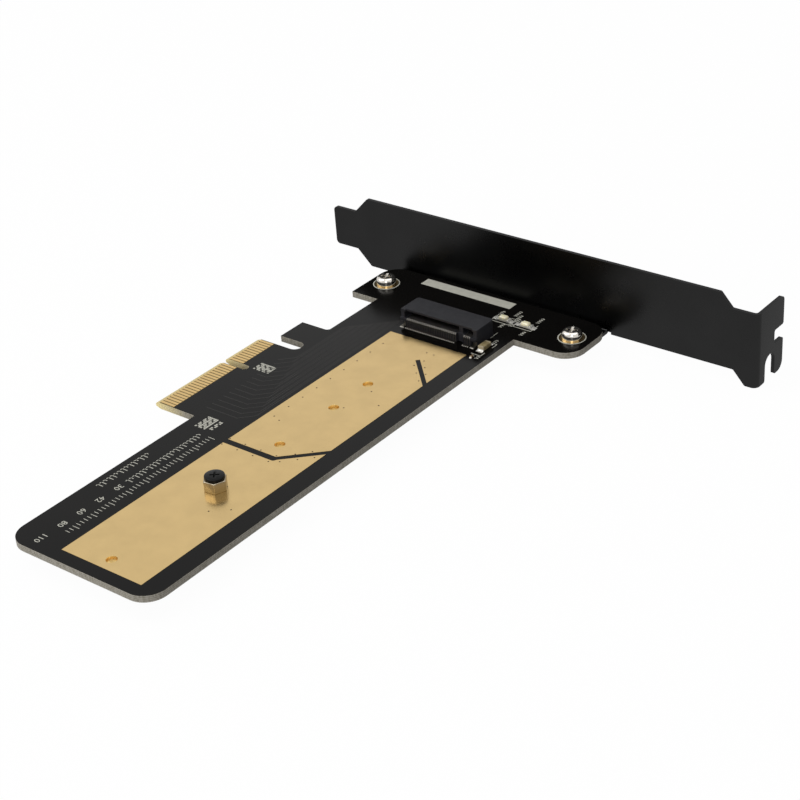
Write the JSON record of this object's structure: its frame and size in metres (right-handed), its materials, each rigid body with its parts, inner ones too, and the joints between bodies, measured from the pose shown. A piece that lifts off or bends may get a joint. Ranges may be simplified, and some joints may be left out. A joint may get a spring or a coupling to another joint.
{
  "type": "nvme adapter card",
  "caption": "T-shaped expansion-slot card on a folded slot bracket: gold edge fingers with a key notch, a module socket, a gold heat plane with screw holes and a standoff.",
  "frame": {"origin": "bottom centre of the whole card's box", "axes": "+X runs along the board away from the bracket's inner face, +Y along the bracket towards its screw flange, +Z out of the component side"},
  "size_m": [0.149, 0.12, 0.0218],
  "materials": {
    "board_laminate": "glass-fibre board under a glossy black solder mask",
    "black_paint": "sheet steel with a satin black finish",
    "nickel_plate": "nickel-plated steel screw",
    "gold_plate": "thin gold plating over copper",
    "socket_plastic": "moulded black plastic",
    "tin_plate": "tin-plated contact metal",
    "brass": "turned brass",
    "black_screw": "blackened steel screw",
    "lamp_body": "white ceramic lamp base",
    "lamp_lens": "cream moulded lens",
    "solder": "bright solder",
    "tan_ceramic": "tan ceramic body",
    "brown_ceramic": "brown ceramic body"
  },
  "bodies": {
    "root": {"circuit_board": "board_laminate", "slot_bracket": "black_paint", "tongue_side_screw": "nickel_plate", "flange_side_screw": "nickel_plate", "tongue_side_screw_pad": "gold_plate", "flange_side_screw_pad": "gold_plate", "heat_plane_near": "gold_plate", "heat_plane_far": "gold_plate", "edge_fingers_top": "gold_plate", "edge_fingers_bottom": "gold_plate", "socket_housing": "socket_plastic", "socket_lower_contacts": "tin_plate", "socket_upper_contacts": "tin_plate", "socket_solder_lugs": "tin_plate", "standoff": "brass", "standoff_nut": "brass", "module_screw": "black_screw", "inner_lamp_base": "lamp_body", "inner_lamp_lens": "lamp_lens", "outer_lamp_base": "lamp_body", "outer_lamp_lens": "lamp_lens", "lamp_solder": "solder", "large_capacitor_body": "tan_ceramic", "large_capacitor_ends": "tin_plate", "small_capacitor_body": "brown_ceramic", "small_capacitor_ends": "tin_plate", "capacitor_solder": "solder"}
  },
  "joints": []
}
